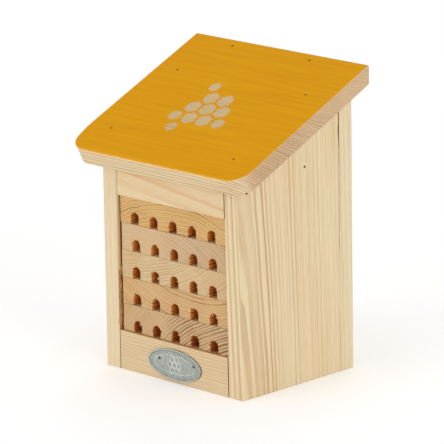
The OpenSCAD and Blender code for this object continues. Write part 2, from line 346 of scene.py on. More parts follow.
def newObject(name, mesh):
    made = bpy.data.objects.new(name, mesh)
    bpy.context.scene.collection.objects.link(made)
    return made


def meshObject(name, work):  # a finished working mesh as an object
    mesh = bpy.data.meshes.new(name)
    work.to_mesh(mesh)
    work.free()
    return newObject(name, mesh)


def addModifier(made, name, kind, **settings):
    modifier = made.modifiers.new(name, kind)
    for key, value in settings.items():
        setattr(modifier, key, value)
    return modifier


def settle(made):  # modifiers become plain mesh, and none is left on the piece
    bpy.context.view_layer.update()
    evaluated = made.evaluated_get(bpy.context.evaluated_depsgraph_get())
    mesh = bpy.data.meshes.new_from_object(evaluated)
    made.modifiers.clear()
    spare = made.data
    made.data = mesh
    bpy.data.meshes.remove(spare)
    mesh.name = made.name


def seat(made, body, slot, *nodes):
    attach(made, body)
    if nodes:
        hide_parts(*nodes)
    return made


def runTree(made, tree, values):
    modifier = addModifier(made, tree.name, "NODES", node_group=tree)
    for item in tree.interface.items_tree:
        if item.item_type == "SOCKET" and item.in_out == "INPUT" and item.name in values:
            modifier[item.identifier] = values[item.name]


def weldedCopy(node):
    work = bmesh.new()
    work.from_mesh(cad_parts[node].data)
    bmesh.ops.remove_doubles(work, verts=work.verts, dist=weldReach)
    return work


def solidBoxes(node):  # the box of each loose solid in a node
    work = weldedCopy(node)
    waiting, boxes = set(work.verts), []
    while waiting:
        queue = [waiting.pop()]
        points = []
        while queue:
            vert = queue.pop()
            points.append(vert.co.copy())
            for edge in vert.link_edges:
                other = edge.other_vert(vert)
                if other in waiting:
                    waiting.remove(other)
                    queue.append(other)
        low = Vector([min(point[axis] for point in points) for axis in range(3)])
        high = Vector([max(point[axis] for point in points) for axis in range(3)])
        boxes.append((low, high))
    work.free()
    return sorted(boxes, key=lambda box: tuple(box[0]))


# where the nails are

nailRows = {  # the way each row's heads face
    "roof_nails_left": (0, 0, 1), "roof_nails_right": (0, 0, 1), "roof_nails_back": (0, 0, 1),
    "side_nails_left": (-1, 0, 0), "side_nails_right": (1, 0, 0), "back_nails_left": (0, 1, 0),
    "back_nails_right": (0, 1, 0), "floor_nails": (0, 1, 0), "plate_nails": (0, -1, 0),
}


def nailPlaces(node):  # for each nail of a row: middle of its head, head radius and length
    facing = Vector(nailRows[node])
    places = []
    for low, high in solidBoxes(node):
        length = abs((high - low).dot(facing))
        across = [size for size, way in zip(high - low, facing) if abs(way) < 0.5]
        places.append(((low + high) / 2 + facing * length / 2, max(across) / 2, length))
    return places


nailAxes = [(head, Vector(nailRows[row]), radius) for row in nailRows for head, radius, _ in nailPlaces(row)]


# the roof's own measures

roof = {
    "slope": 25.0, "thickness": 13 * mm, "edgeRound": 1.2 * mm, "cornerRadius": 15 * mm, "cornerSteps": 24,
    "paintFilm": 0.12 * mm, "paintSunk": 0.04 * mm, "paintStep": 1.2 * mm, "paintWander": 0.25 * mm,
    "wandersPerMetre": 160, "nailHole": 0.95 * mm, "punchDepth": 6 * mm, "punchSides": 24,
}
barePatch = {"Across": -4 * mm, "Up Slope": 68 * mm, "Spread": 46 * mm}  # wood shows through the paint here
roofPaint = {
    # the thin paint's colour is lighter than paint or wood: a painted highlight on the eased edges
    "light": (223, 158, 7), "dark": (214, 147, 3), "cloud": (218, 151, 5), "thinPaintAndHighlight": (246, 205, 140),
    "browned": (236, 228, 213),  # darkens the bare wood in the patch
    "wobbleSize": 4 * mm, "wobbleReach": 0.8 * mm,  # of the paint that ran over the edges
    "coatFrom": (1.08, 1.12),  # where the first coat begins, in shares of the patch's spread
    "relief": (0.5, 0.06 * mm), "roughness": (0.5, 0.66), "shine": 0.04,
}


def roofFrame():  # middle of the top front edge, direction up the slope and out of the board
    low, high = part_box("roof_board")
    slope = math.radians(roof["slope"])
    origin = Vector((0, low[1], low[2] + roof["thickness"] * math.cos(slope)))
    upSlope = Vector((0, math.cos(slope), math.sin(slope)))
    out = Vector((0, -math.sin(slope), math.cos(slope)))
    length = (high[2] - origin.z) / math.sin(slope)
    return origin, upSlope, out, high[0], length


# boards of the case

boardLooks = {
    "right_side_panel": {
        "grain": "z", "pith": (0.025, -0.053, 0.1), "lean": (0, -2.6, 0), "Ring Width": 2.7,
        "Ring Drift": 3.0, "Ring Contrast": 0.75, "Uneven": 0.7, "Mottle": 0.45, "Seed": 2.0,
        "fades": [("Y", 0.012, -0.022, 0.6)],
        "bold": ((33.5, 0.9, 0.5), (38.5, 1.0, 0.8), (42.2, 0.7, 0.35), (45.6, 1.1, 0.4),
                 (50.3, 0.9, 0.65), (53.9, 0.7, 0.9), (55.8, 0.6, 0.6), (72.6, 1.2, 0.45),
                 (75.7, 0.9, 0.45)),
        "Earlywood": (233, 214, 176), "Latewood": (194, 152, 100), "End Tint": (232, 218, 196),
    },
    "left_side_panel": {
        "grain": "z", "pith": (-0.12, 0.02, 0.1), "lean": (0, -1.5, 0), "Ring Width": 2.3,
        "Ring Drift": 5.0, "Ring Contrast": 0.5, "Uneven": 0.8, "Mottle": 0.25, "Seed": 5.0,
        "Earlywood": (230, 212, 177), "Latewood": (211, 180, 135), "End Tint": (232, 218, 196),
    },
    "back_panel": {
        "grain": "z", "pith": (-0.02, 0.13, 0.1), "lean": (2.0, 0, 0), "Ring Width": 2.6,
        "Ring Drift": 6.0, "Ring Contrast": 0.6, "Uneven": 0.8, "Mottle": 0.3, "Seed": 8.0,
        "Earlywood": (233, 217, 184), "Latewood": (211, 178, 130), "End Tint": (232, 218, 196),
    },
    "front_lintel": {
        "grain": "x", "pith": (0.0, -0.02, 0.228), "lean": (0, 7.0, 0), "Ring Width": 11.0,
        "Ring Drift": 6.0, "Ring Contrast": 0.95, "Uneven": 0.5, "Mottle": 0.5, "Seed": 11.0,
        "Earlywood": (231, 208, 168), "Latewood": (218, 176, 130), "End Tint": (232, 218, 196),
    },
    "front_rail": {
        "grain": "x", "pith": (0.0, -0.045, 0.2), "lean": (0, 0.4, 0), "Ring Width": 1.9,
        "Ring Drift": 2.0, "Ring Contrast": 0.8, "Uneven": 0.35, "Mottle": 0.3, "Seed": 14.0,
        "Earlywood": (226, 203, 164), "Latewood": (196, 158, 110), "End Tint": (232, 218, 196),
    },
    "floor_board": {
        "grain": "x", "pith": (0.0, 0.0, 0.06), "lean": (0, 1.0, 0), "Ring Width": 2.8,
        "Ring Drift": 6.0, "Ring Contrast": 0.7, "Uneven": 0.8, "Mottle": 0.4, "Seed": 17.0,
        "Earlywood": (228, 204, 163), "Latewood": (200, 160, 108), "End Tint": (232, 218, 196),
    },
    "stop_board": {
        "grain": "x", "pith": (0.0, 0.07, 0.09), "lean": (0, 1.0, 0), "Ring Width": 2.8,
        "Ring Drift": 6.0, "Ring Contrast": 0.7, "Uneven": 0.8, "Mottle": 0.4, "Seed": 20.0,
        "Earlywood": (228, 204, 163), "Latewood": (200, 160, 108), "End Tint": (232, 218, 196),
    },
    "roof_board": {
        "grain": "x", "pith": (0.0, 0.11, 0.47), "lean": (0, 0.4, 0), "Ring Width": 1.45,
        "Ring Drift": 3.0, "Ring Contrast": 1.08, "Uneven": 0.45, "Mottle": 0.25, "Seed": 23.0,
        "fades": [("X", 0.05, 0.08, 0.58), ("Y", 0.05, -0.06, 0.3)], "bleed": 1.5 * mm,
        # the end-grain tint starts late, so the rounded front corners stay as light as the front, as painted
        # light; the end itself takes the end-grain colour
        "endRange": (0.82, 0.99),
        "Earlywood": (227, 205, 165), "Latewood": (152, 110, 66), "End Tint": (240, 228, 223),
    },
}
innerFaces = {"right_side_panel": (-1, 0, 0), "left_side_panel": (1, 0, 0), "front_rail": (0, 0, 1)}
jointFaces = {"front_lintel": [(1, 0, 0), (-1, 0, 0)], "front_rail": [(1, 0, 0), (-1, 0, 0)],
              "back_panel": [(0, -1, 0)]}  # dark where they meet the side panels: painted shade in the gaps, over a little dirt
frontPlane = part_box("left_side_panel")[0][1]
# painted shade: darker deeper behind the blocks' fronts, in the slits beside them
depthShade = ("Y", frontPlane + 1.6 * mm, frontPlane + 3.4 * mm, 1.0, (166, 102, 40))
innerLooks = {  # rough inside faces, a little browner; the depth shade on them is painted shade
    "left_side_panel": {"Earlywood": (232, 206, 160), "Latewood": (214, 176, 126),
                        "darkenings": [("Z", 78 * mm, 71 * mm, 0.8, (196, 142, 88)), depthShade]},
    "right_side_panel": {"Earlywood": (232, 206, 160), "Latewood": (214, 176, 126), "darkenings": [depthShade]},
    # the rail's top face is darker as painted shade along the foot of the lowest block
    "front_rail": {"Earlywood": (206, 164, 112), "Latewood": (170, 122, 72)},
}
# painted shade in the joints' gaps, over a little dirt; darkest at the rail's ends
jointShadeLook = {"Earlywood": (142, 92, 34), "Latewood": (106, 66, 22), "End Tint": (255, 255, 255)}
railJointShadeLook = {**jointShadeLook, "Earlywood": (118, 52, 2), "Latewood": (88, 38, 2)}
# the crushed and stained wood around nail heads, with painted shade in their holes, and the roof's, which
# paint has run into, darkened as painted shade
pocketShadeLook = {"Earlywood": (112, 74, 30), "Latewood": (80, 52, 18), "End Tint": (255, 255, 255), "bleed": 0.0}
roofPocketShadeLook = {**pocketShadeLook, "Earlywood": (120, 74, 6), "Latewood": (90, 52, 4)}
rearJoint = {  # how far the joint to the back panel stands open: share of the height, opening
    "right_side_panel": ((0.0, 0.03 * mm), (0.4, 0.05 * mm), (0.48, 0.32 * mm), (0.8, 0.36 * mm),
                         (0.85, 0.95 * mm), (1.0, 1.0 * mm)),
    "left_side_panel": ((0.0, 0.03 * mm), (0.5, 0.1 * mm), (1.0, 0.4 * mm)),
}
rearEdge = {"cuts": 64, "uneven": 0.5, "wavesPerMetre": 140, "near": 0.05 * mm}

boardEdges = {"round": 0.4 * mm, "steps": 3, "nailRim": 0.4 * mm, "sharp": math.radians(30),
              "flat": math.radians(0.4), "sameWay": 0.9, "pocketMargin": 0.25 * mm,
              "pocketFace": 8 * mm * mm, "jointReach": 1 * mm}
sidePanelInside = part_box("right_side_panel")[0][0]
roofEnd = {  # the left end, with its bends and its reach by share of the way up the slope
    "from": 71 * mm, "rubbed": 3.2 * mm, "leaning": 0.1 * mm, "cornerShare": 0.25, "sag": 0.9 * mm,
    "bends": (0.13, 0.16, 0.19, 0.22),
    "reach": ((0.0, -0.1 * mm), (0.09, 0.4 * mm), (0.16, 1.7 * mm), (0.22, 1.8 * mm), (1.0, -1.1 * mm)),
}
drawnEdge = {"perHeight": 0.0134, "reach": 90 * mm, "from": 50 * mm}  # the right panel's front edge


def drawIn(made):
    # the lintel is a little short, so the right panel's front edge is drawn in towards its top
    for vert in made.data.vertices:
        if vert.co.x > drawnEdge["from"]:
            depth = min((vert.co.y - frontPlane) / drawnEdge["reach"], 1.0)
            vert.co.x -= drawnEdge["perHeight"] * vert.co.z * (1.0 - depth)


def cutAskew(made):
    # the roof's left end isn't sawn quite square, and its front corner is rubbed off further below the paint
    origin, upSlope, out, half, length = roofFrame()
    for vert in made.data.vertices:
        near = (-vert.co.x - roofEnd["from"]) / (half - roofEnd["from"])
        if near > 0:
            place = vert.co - origin
            share = min(max(place.dot(upSlope) / length, 0.0), 1.0)
            depth = max(-place.dot(out) / roof["edgeRound"], 0.0)
            if -place.dot(out) > roof["thickness"] / 2:
                vert.co -= out * roofEnd["sag"] * (1.0 - share)
            rubbed = roofEnd["rubbed"] * min(depth, 1.0) + roofEnd["leaning"] * depth
            corner = max(1.0 - share / roofEnd["cornerShare"], 0.0)
            vert.co.x -= near * (valueAt(roofEnd["reach"], share) - rubbed * corner)


def valueAt(steps, share):  # read off a line of steps, each a share and its value
    for (low, first), (high, second) in zip(steps, steps[1:]):
        if share <= high:
            return first + (second - first) * (share - low) / (high - low)
    return steps[-1][1]


def openRearJoint(work, joint):
    # the rear edge leans away from the back panel towards its top, a little unevenly
    work.normal_update()
    near, cuts = rearEdge["near"], rearEdge["cuts"]
    rear = max(vert.co.y for vert in work.verts)
    top = max(vert.co.z for vert in work.verts)
    topFaces = [face for face in work.faces if face.normal.z > 0.5]
    slope = max(topFaces, key=lambda face: face.calc_area()).normal.copy()
    openings = []
    for part in range(cuts + 1):
        wave = noise.noise(Vector((0.3, 0, top * part / cuts * rearEdge["wavesPerMetre"])))
        openings.append(valueAt(joint, part / cuts) * (1 + rearEdge["uneven"] * wave))
    for part in range(1, cuts):
        faces = [face for face in work.faces
                 if face.normal.y > boardEdges["sameWay"] and face.calc_center_median().y > rear - near]
        edges = {edge for face in faces for edge in face.edges}
        verts = {vert for face in faces for vert in face.verts}
        cut = faces + list(edges) + list(verts)
        bmesh.ops.bisect_plane(work, geom=cut, plane_co=(0, 0, top * part / cuts), plane_no=(0, 0, 1))
    for vert in work.verts:
        if vert.co.y > rear - near:
            place = vert.co.z / top * cuts
            below = min(int(place), cuts - 1)
            opening = openings[below] + (openings[below + 1] - openings[below]) * (place - below)
            vert.co.y -= opening
            if vert.co.z > top - near:  # stays on the slope under the roof
                vert.co.z += slope.y / slope.z * opening


def inNailPocket(face):  # the crushed and stained wood around a sunk head, with painted shade in its hole
    if face.calc_area() > boardEdges["pocketFace"]:
        return False
    middle = face.calc_center_median()
    for head, facing, radius in nailAxes:
        way = middle - head
        if (way - facing * way.dot(facing)).length < radius + boardEdges["pocketMargin"]:
            return True
    return False


def inJoint(face, node):  # faces that meet a side panel
    if abs(face.calc_center_median().x) < sidePanelInside - boardEdges["jointReach"]:
        return False
    return any(face.normal.dot(Vector(way)) > boardEdges["sameWay"] for way in jointFaces.get(node, ()))


def partBoard(work, point, way):  # cuts its faces along a plane and takes nothing away
    everything = work.verts[:] + work.edges[:] + work.faces[:]
    bmesh.ops.bisect_plane(work, geom=everything, plane_co=point, plane_no=way)


def shapeBoard(node):  # parted where it bends or changes its finish, its sharp edges marked for easing
    work = weldedCopy(node)
    bmesh.ops.dissolve_limit(work, angle_limit=boardEdges["flat"], verts=work.verts, edges=work.edges)
    if node in rearJoint:
        openRearJoint(work, rearJoint[node])
    if node == "roof_board":  # its left end bends
        origin, upSlope, _, _, length = roofFrame()
        for part in roofEnd["bends"]:
            partBoard(work, origin + upSlope * length * part, upSlope)
    if node == "back_panel":  # the side panels meet its front face
        for side in (-1, 1):
            partBoard(work, (side * sidePanelInside, 0, 0), (1, 0, 0))
    work.normal_update()
    weight = work.edges.layers.float.new("bevel_weight_edge")
    for edge in work.edges:
        if len(edge.link_faces) == 2 and edge.calc_face_angle(0) > boardEdges["sharp"]:
            edge[weight] = 1.0 if edge.calc_length() > boardEdges["nailRim"] else 0.0
    return work


def finishOf(face, node):  # which of its board's finishes a face has
    if inNailPocket(face):
        return "_pocket_shade_pine"
    if inJoint(face, node):
        return "_joint_shade_pine"
    inner = Vector(innerFaces.get(node, (0, 0, 0)))
    return "_inside_pine" if face.normal.dot(inner) > boardEdges["sameWay"] else "_pine"


def dressBoard(node):
    # the board's own shape, with its long edges eased as sandpaper leaves them
    isRoof = node == "roof_board"
    finishes = {"_pine": {}, "_pocket_shade_pine": roofPocketShadeLook if isRoof else pocketShadeLook,
                "_joint_shade_pine": railJointShadeLook if node == "front_rail" else jointShadeLook}
    if node in innerFaces:
        finishes["_inside_pine"] = innerLooks[node]
    order = list(finishes)
    work = shapeBoard(node)
    for face in work.faces:
        face.smooth = True
        face.material_index = order.index(finishOf(face, node))
    made = meshObject(node + "_wood", work)
    for ending, change in finishes.items():
        made.data.materials.append(pineMaterial(node + ending, {**boardLooks[node], **change}))
    addModifier(made, "easedEdges", "BEVEL", limit_method="WEIGHT", segments=boardEdges["steps"],
                width=roof["edgeRound"] if isRoof else boardEdges["round"],
                use_clamp_overlap=False, loop_slide=False)
    addModifier(made, "flatFaces", "WEIGHTED_NORMAL", keep_sharp=True)
    settle(made)
    if node in ("right_side_panel", "front_lintel", "front_rail"):
        drawIn(made)
    if isRoof:
        cutAskew(made)
    seat(made, caseBody, "painted_roof" if isRoof else "case_pine", node)


for boardNode in boardLooks:
    dressBoard(boardNode)
print("boards dressed:", len(boardLooks))


# geometry node trees

def newTree(name, sockets):
    tree = bpy.data.node_groups.new(name, "GeometryNodeTree")
    addSockets(tree, "INPUT", {"Geometry": ("Geometry",), **sockets})
    addSockets(tree, "OUTPUT", {"Geometry": ("Geometry",)})
    return tree, addNode(tree, "NodeGroupInput").outputs


def step(tree, kind, inputs=None, **settings):  # a geometry node, first output
    return addNode(tree, "GeometryNode" + kind, inputs, **settings).outputs[0]


def joined(tree, parts):
    node = addNode(tree, "GeometryNodeJoinGeometry")
    for part in parts:
        tree.links.new(part, node.inputs[0])
    return node.outputs[0]


def along(tree, x=0.0, y=0.0, z=0.0):
    return addNode(tree, "ShaderNodeCombineXYZ", {0: x, 1: y, 2: z}).outputs[0]


def chance(tree, low, high, seed):  # between two numbers, or between two triples of them
    first, kind = (0, "FLOAT_VECTOR") if isinstance(low, tuple) else (2, "FLOAT")
    limits = {first: low, first + 1: high, "Seed": seed}
    return addNode(tree, "FunctionNodeRandomValue", limits, data_type=kind).outputs[first // 2]


def turnedTo(tree, direction):  # the turn that points Z in a direction
    return addNode(tree, "FunctionNodeAlignRotationToVector", {"Vector": direction}, axis="Z").outputs[0]


def spike(tree, sides, rows, tip, root):  # one unit long, thin end up
    return step(tree, "MeshCone", {"Vertices": sides, "Side Segments": rows, "Radius Top": tip,
                                   "Radius Bottom": root, "Depth": 1.0})


def roughened(tree, part, scale, reach):  # noise moves the points of a part about
    values = {"Vector": step(tree, "InputPosition"), "Scale": scale, "Detail": 2.0}
    cloud = addNode(tree, "ShaderNodeTexNoise", values).outputs["Color"]
    push = vectorCalc(tree, "MULTIPLY", eitherWay(tree, cloud), reach)
    return step(tree, "SetPosition", {"Geometry": part, "Offset": push})


def cutAway(tree, solid, tool, tangled=False):  # tangled: the tool's parts run into each other
    return step(tree, "MeshBoolean", {"Mesh 1": solid, "Mesh 2": tool, "Self Intersection": tangled},
                operation="DIFFERENCE", solver="EXACT")


def moved(tree, part, **how):
    return step(tree, "Transform", {"Geometry": part, **how})


def repeated(tree, points, part, **how):  # a part at every point, or at the chosen ones
    copies = step(tree, "InstanceOnPoints", {"Points": points, "Instance": part, **how})
    return step(tree, "RealizeInstances", {"Geometry": copies})


def coated(tree, part, material, **chosen):
    return step(tree, "SetMaterial", {"Geometry": part, "Material": material, **chosen})


def closeTree(tree, geometry, material):
    addNode(tree, "NodeGroupOutput", {0: coated(tree, geometry, material)})
    return tree


# torn wood on the left panel's inner face, beside the two lowest blocks

tornStrip = {"Count": 90, "Low": 30.5 * mm, "High": 74 * mm, "Depth": 4.2 * mm, "Flake": 3.4 * mm, "Seed": 6,
             "shape": {"sides": 6, "rows": 4, "tip": 0.04, "root": 0.16}, "rough": (0.18, 0.18, 0.2),
             "leans": ((-0.5, 0.0, -3.1), (0.5, 0.45, 3.1))}
tornLook = {"Ring Contrast": 0.9, "Earlywood": (232, 184, 122), "Latewood": (152, 95, 42),
            "End Tint": (255, 255, 255)}


def buildTornTree():
    sockets = {"Int": ("Count", "Seed"), "Float": ("Low", "High", "Depth", "Face", "Front", "Flake"),
               "Material": ("Wood",)}
    tree, given = newTree("tornStrip", sockets)
    seed = given["Seed"]
    height = chance(tree, given["Low"], given["High"], seed)
    inward = times(tree, chance(tree, 0.05, 1.0, plus(tree, seed, 11.0)), given["Depth"])
    spot = along(tree, given["Face"], plus(tree, given["Front"], inward), height)
    points = step(tree, "MeshLine", {"Count": given["Count"], "Offset": (0, 0, 0)})
    points = step(tree, "SetPosition", {"Geometry": points, "Position": spot})
    flake = roughened(tree, spike(tree, **tornStrip["shape"]), 4.0, tornStrip["rough"])
    lean = chance(tree, *tornStrip["leans"], plus(tree, seed, 23.0))
    length = times(tree, chance(tree, 0.3, 1.0, plus(tree, seed, 31.0)), given["Flake"])
    flakes = repeated(tree, points, flake, Rotation=lean, Scale=length)
    return closeTree(tree, flakes, given["Wood"])


def tearStrip():
    made = meshObject("torn_strip", bmesh.new())
    wood = pineMaterial("torn_pine", {**boardLooks["left_side_panel"], **tornLook})
    runTree(made, buildTornTree(), {**tornStrip, "Face": -sidePanelInside, "Front": frontPlane, "Wood": wood})
    settle(made)
    seat(made, caseBody, "case_pine")


tearStrip()
print("torn strip laid")


# nest blocks

nestBlocks = {
    "Tunnel Count": 5, "Tunnel Pitch": 19.6 * mm, "Tunnel Width": 8 * mm, "Tunnel Height": 9 * mm,
    "Chip Share": 0.045, "Chip Size": 1.3 * mm, "Splinter Share": 0.035, "Splinter Length": 2.6 * mm,
    "Tongue Share": 0.42, "Tongue Length": 4.4 * mm, "tongueBehind": 0.75 * mm, "rimPoints": 64,
    "crownRound": 0.49, "crownSteps": 12, "borePast": 1 * mm,
    "blocks": 5, "edgeRound": 0.25 * mm, "edgeSteps": 2, "sharp": math.radians(50),
}
tongueSeeds = {1: 29, 2: 11, 3: 55, 4: 25, 5: 46}  # for each block, which mouths keep a torn tongue
mouthMargins = {
    "rim": 0.5 * mm,  # the rim's points start this far above the block's bottom
    "splinters": 1 * mm,  # none further back, so none against the stop board
    "sides": 1 * mm, "foot": 0.35 * mm, "crown": 0.2 * mm,  # how far the dark walls go
}
mouthChances = {  # the least and the most that chance gives
    "tongueTurn": (-0.35, 1.1), "tongueLean": ((-0.5, 0.0, -0.6), (0.3, 0.25, 0.4)),
    "tongueLength": (0.55, 1.0), "splinterLean": ((-0.7, -0.15, -0.7), (0.7, 0.15, 0.3)),
    "chipSize": ((0.3, 0.5, 0.25), (0.75, 1.6, 0.8)), "chipTurn": ((-0.5, -3.1, -0.5), (0.5, 3.1, 0.5)),
}
tongueShape = {"sides": 9, "rows": 6, "tip": 0.03, "root": 0.36}  # for one unit of length
fibreShape = {"sides": 5, "rows": 1, "tip": 0.02, "root": 0.17}
rootedBy = {"tongue": (0, 0, -0.22), "fibre": (0, 0, -0.12)}  # how much of the length is sunk in the wood
wallFacing = 0.6  # a face that looks less than this to the front or rear is a tunnel's wall
tunnelSizes = ("X Middle", "Front", "Bottom", "Width", "Depth", "Tunnel Pitch", "Tunnel Width",
               "Tunnel Height")
blockLooks = {  # end grain faces the front, so the rings show there as arcs
    "nest_block_1": {
        "grain": "y", "pith": (0.002, 0, 0.008), "lean": (0, 0, 1), "Ring Width": 1.8,
        "Ring Drift": 5.0, "Ring Contrast": 0.95, "Uneven": 0.6, "Mottle": 0.4, "Seed": 31.0,
        "Earlywood": (224, 187, 127), "Latewood": (164, 117, 61), "End Tint": (252, 250, 246),
    },
    "nest_block_2": {
        "grain": "y", "pith": (-0.027, 0, 0.011), "lean": (0, 0, -1), "Ring Width": 1.7,
        "Ring Drift": 3.0, "Ring Contrast": 1.0, "Uneven": 0.35, "Mottle": 0.4, "Seed": 34.0,
        "fades": [("X", -0.022, 0.022, 0.12)],
        "Earlywood": (217, 187, 147), "Latewood": (128, 88, 57), "End Tint": (252, 250, 248),
    },
    "nest_block_3": {
        "grain": "y", "pith": (-0.051, 0, 0.214), "lean": (0, 0, 1.5), "Ring Width": 1.5,
        "Ring Drift": 6.0, "Ring Contrast": 1.15, "Uneven": 0.8, "Mottle": 0.5, "Seed": 37.0,
        "Earlywood": (219, 194, 151), "Latewood": (189, 151, 105), "End Tint": (252, 250, 248),
    },
    "nest_block_4": {
        "grain": "y", "pith": (0.022, 0, 0.195), "lean": (0, 0, 1), "Ring Width": 1.9,
        "Ring Drift": 5.0, "Ring Contrast": 0.9, "Uneven": 0.8, "Mottle": 0.4, "Seed": 40.0,
        "Earlywood": (216, 181, 131), "Latewood": (168, 124, 76), "End Tint": (252, 249, 244),
    },
    "nest_block_5": {
        "grain": "y", "pith": (0.1, 0, -0.092), "lean": (0, 0, -1.5), "Ring Width": 2.4,
        "Ring Drift": 4.0, "Ring Contrast": 1.15, "Uneven": 0.45, "Mottle": 0.4, "Seed": 43.0,
        "fades": [("X", -0.02, 0.012, 0.2)],
        "Earlywood": (209, 177, 134), "Latewood": (118, 80, 46), "End Tint": (252, 249, 246),
    },
}
# the bored walls: warmer wood, with painted shade further into each tunnel
tunnelLook = {"Ring Contrast": 1.5, "Earlywood": (235, 154, 66), "Latewood": (148, 71, 20),
              "End Tint": (255, 255, 255),
              "darkenings": [("Y", frontPlane + 3.5 * mm, frontPlane + 9 * mm, 0.65, (194, 98, 24))]}
lowestTunnelLook = {"Earlywood": (195, 108, 44), "Latewood": (151, 76, 24)}  # the bottom block's are darker


def archCurve(tree, given):  # twice the tunnel's height, so its lower half hangs below the block
    tall = times(tree, given["Tunnel Height"], 2.0)
    outline = step(tree, "CurvePrimitiveQuadrilateral", {"Width": given["Tunnel Width"], "Height": tall})
    inputs = {"Curve": outline, "Count": nestBlocks["crownSteps"],
              "Radius": times(tree, given["Tunnel Width"], nestBlocks["crownRound"])}
    return step(tree, "FilletCurve", inputs, mode="POLY")


def tunnelPoints(tree, given):  # one point for each tunnel of a block
    gaps = minus(tree, given["Tunnel Count"], 1.0)
    half = times(tree, times(tree, gaps, given["Tunnel Pitch"]), 0.5)
    first = along(tree, x=minus(tree, given["X Middle"], half))
    return step(tree, "MeshLine", {"Count": given["Tunnel Count"], "Start Location": first,
                                   "Offset": along(tree, x=given["Tunnel Pitch"])})


def tornTongues(tree, given):
    # in some mouths a tongue of torn wood hangs in from the side where the cutter left it
    seed = given["Tongue Seed"]
    turn = chance(tree, *mouthChances["tongueTurn"], plus(tree, seed, 3.0))
    radius = times(tree, given["Tunnel Width"], 0.5)
    crown = plus(tree, given["Bottom"], minus(tree, given["Tunnel Height"], radius))
    cosine, sine = calc(tree, "COSINE", turn), calc(tree, "SINE", turn)
    behind = plus(tree, given["Front"], nestBlocks["tongueBehind"])
    root = along(tree, times(tree, radius, cosine), behind, plus(tree, crown, times(tree, radius, sine)))
    roots = step(tree, "SetPosition", {"Geometry": tunnelPoints(tree, given), "Offset": root})
    kept = less(tree, chance(tree, 0.0, 1.0, seed), given["Tongue Share"])
    inward = along(tree, times(tree, cosine, -1.0), 0.0, times(tree, sine, -1.0))
    wild = chance(tree, *mouthChances["tongueLean"], plus(tree, seed, 5.0))
    lean = turnedTo(tree, vectorCalc(tree, "ADD", inward, wild))
    flake = moved(tree, spike(tree, **tongueShape), Translation=rootedBy["tongue"])
    flake = roughened(tree, flake, 3.0, (0.5, 0.5, 0.3))
    grown = chance(tree, *mouthChances["tongueLength"], plus(tree, seed, 7.0))
    length = times(tree, grown, given["Tongue Length"])
    return repeated(tree, roots, flake, Selection=kept, Rotation=lean, Scale=length)


def buildBlockTree():
    sockets = {"Int": ("Tunnel Count",), "Float": tunnelSizes + ("Height",), "Material": ("Wood",)}
    tree, given = newTree("nestBlock", sockets)
    size = along(tree, given["Width"], given["Depth"], given["Height"])
    foot = along(tree, given["X Middle"], given["Front"], given["Bottom"])
    middle = vectorCalc(tree, "ADD", foot, vectorCalc(tree, "MULTIPLY", size, (0, 0.5, 0.5)))
    solid = moved(tree, step(tree, "MeshCube", {"Size": size}), Translation=middle)
    sheet = step(tree, "FillCurve", {"Curve": archCurve(tree, given)}, mode="NGONS")
    reach = plus(tree, given["Depth"], 2 * nestBlocks["borePast"])
    pushed = step(tree, "ExtrudeMesh", {"Mesh": sheet, "Offset": (0, 0, 1), "Offset Scale": reach,
                                        "Individual": False}, mode="FACES")
    bore = joined(tree, [pushed, step(tree, "FlipFaces", {"Mesh": sheet})])
    bore = step(tree, "MergeByDistance", {"Geometry": bore, "Distance": weldReach})
    rear = plus(tree, plus(tree, given["Front"], given["Depth"]), nestBlocks["borePast"])
    bore = moved(tree, bore, Rotation=upright, Translation=along(tree, 0.0, rear, given["Bottom"]))
    cut = cutAway(tree, solid, repeated(tree, tunnelPoints(tree, given), bore))
    return closeTree(tree, cut, given["Wood"])


def mouthRims(tree, given, place):  # points along the mouths' edges, front and rear
    rim = step(tree, "CurveToPoints", {"Curve": archCurve(tree, given), "Count": nestBlocks["rimPoints"]},
               mode="COUNT")
    foot = along(tree, 0.0, given["Front"], given["Bottom"])
    front = moved(tree, rim, Rotation=upright, Translation=foot)
    crown = minus(tree, given["Tunnel Height"], times(tree, given["Tunnel Width"], 0.5))
    heart = along(tree, 0.0, given["Front"], plus(tree, given["Bottom"], crown))
    inward = vectorCalc(tree, "NORMALIZE", vectorCalc(tree, "SUBTRACT", heart, place))
    front = step(tree, "StoreNamedAttribute", {"Geometry": front, "Name": "inward", "Value": inward},
                 data_type="FLOAT_VECTOR", domain="POINT")
    back = moved(tree, front, Translation=along(tree, y=given["Depth"]))
    rims = repeated(tree, tunnelPoints(tree, given), joined(tree, [front, back]))
    low = less(tree, axisOf(tree, place, "Z"), plus(tree, given["Bottom"], mouthMargins["rim"]))
    return step(tree, "DeleteGeometry", {"Geometry": rims, "Selection": low}, domain="POINT")


def tornChips(tree, given, rims):  # lumps that are cut out of the edges
    seed = given["Seed"]
    lump = step(tree, "MeshIcoSphere", {"Radius": 1.0, "Subdivisions": 2})
    lump = roughened(tree, lump, 1.3, (1, 1, 1))
    torn = less(tree, chance(tree, 0.0, 1.0, seed), given["Chip Share"])
    size = scaledVector(tree, chance(tree, *mouthChances["chipSize"], seed), given["Chip Size"])
    swing = chance(tree, *mouthChances["chipTurn"], seed)
    return repeated(tree, rims, lump, Selection=torn, Rotation=swing, Scale=size)


